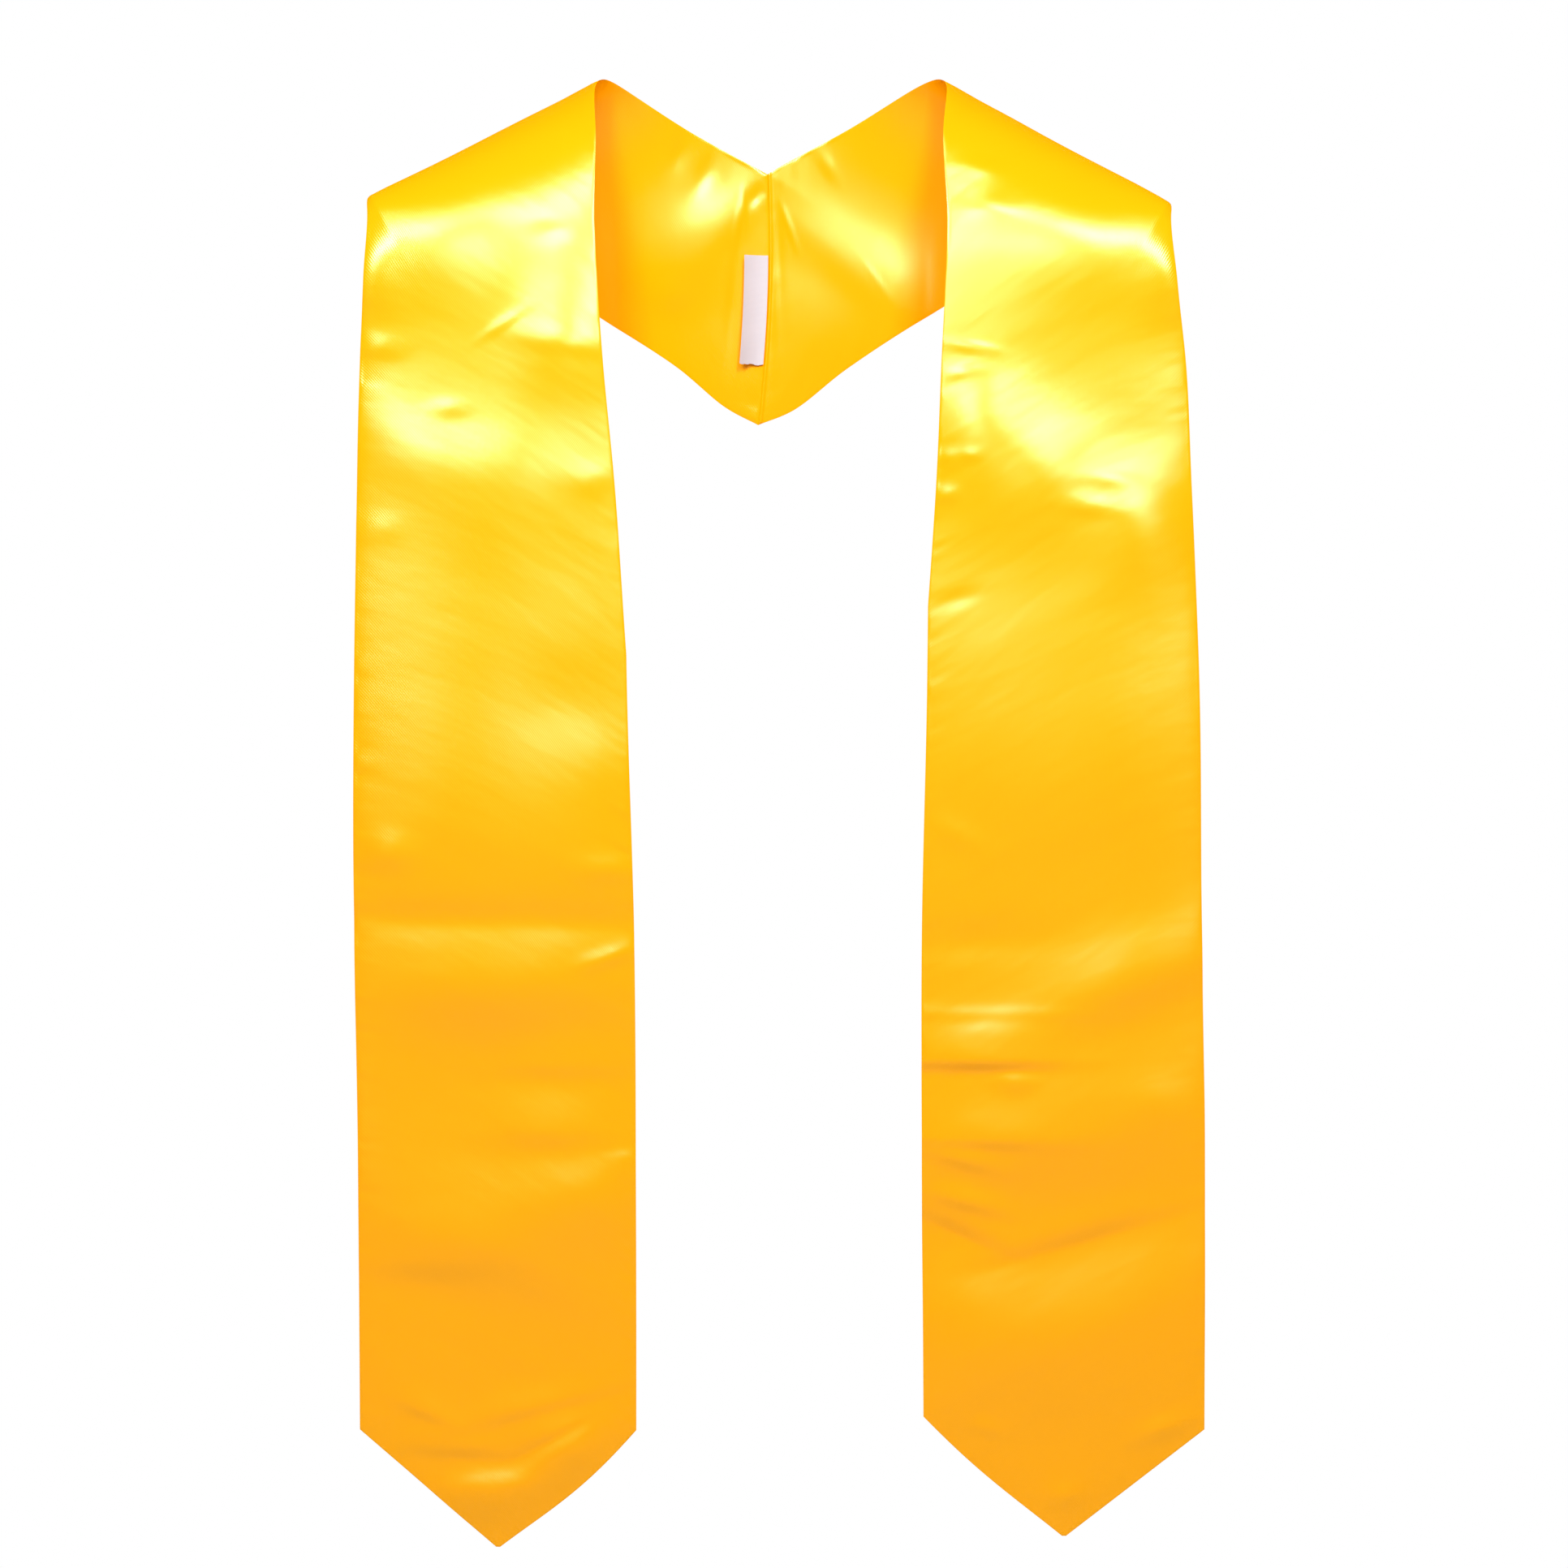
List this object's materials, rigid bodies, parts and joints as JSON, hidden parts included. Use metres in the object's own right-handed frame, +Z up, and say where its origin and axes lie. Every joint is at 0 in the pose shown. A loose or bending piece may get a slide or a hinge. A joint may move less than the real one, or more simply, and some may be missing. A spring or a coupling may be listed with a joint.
{
  "type": "graduation stole",
  "caption": "Golden satin stole in its worn form: long panels with pointed ends hang from the shoulders in front, and a V-shaped back piece has a centre seam and a blank neck label.",
  "frame": {"origin": "midway between the two neck points, where the inner edges of the stole cross the shoulder lines", "axes": "+Z up; the wearer faces -Y, so the panels hang on the -Y side and the back piece on the +Y side; +X is the wearer's left"},
  "size_m": [0.3947, 0.1226, 0.6908],
  "materials": {
    "satin_face": "golden-yellow satin, glossy with a soft highlight",
    "satin_lining": "golden-yellow satin, glossy with a soft highlight",
    "label_ribbon": "white woven ribbon with a slight sheen, blank"
  },
  "bodies": {
    "root": {"right_face_ply": "satin_face", "left_face_ply": "satin_face", "right_lining_ply": "satin_lining", "left_lining_ply": "satin_lining", "neck_label": "label_ribbon"}
  },
  "joints": []
}
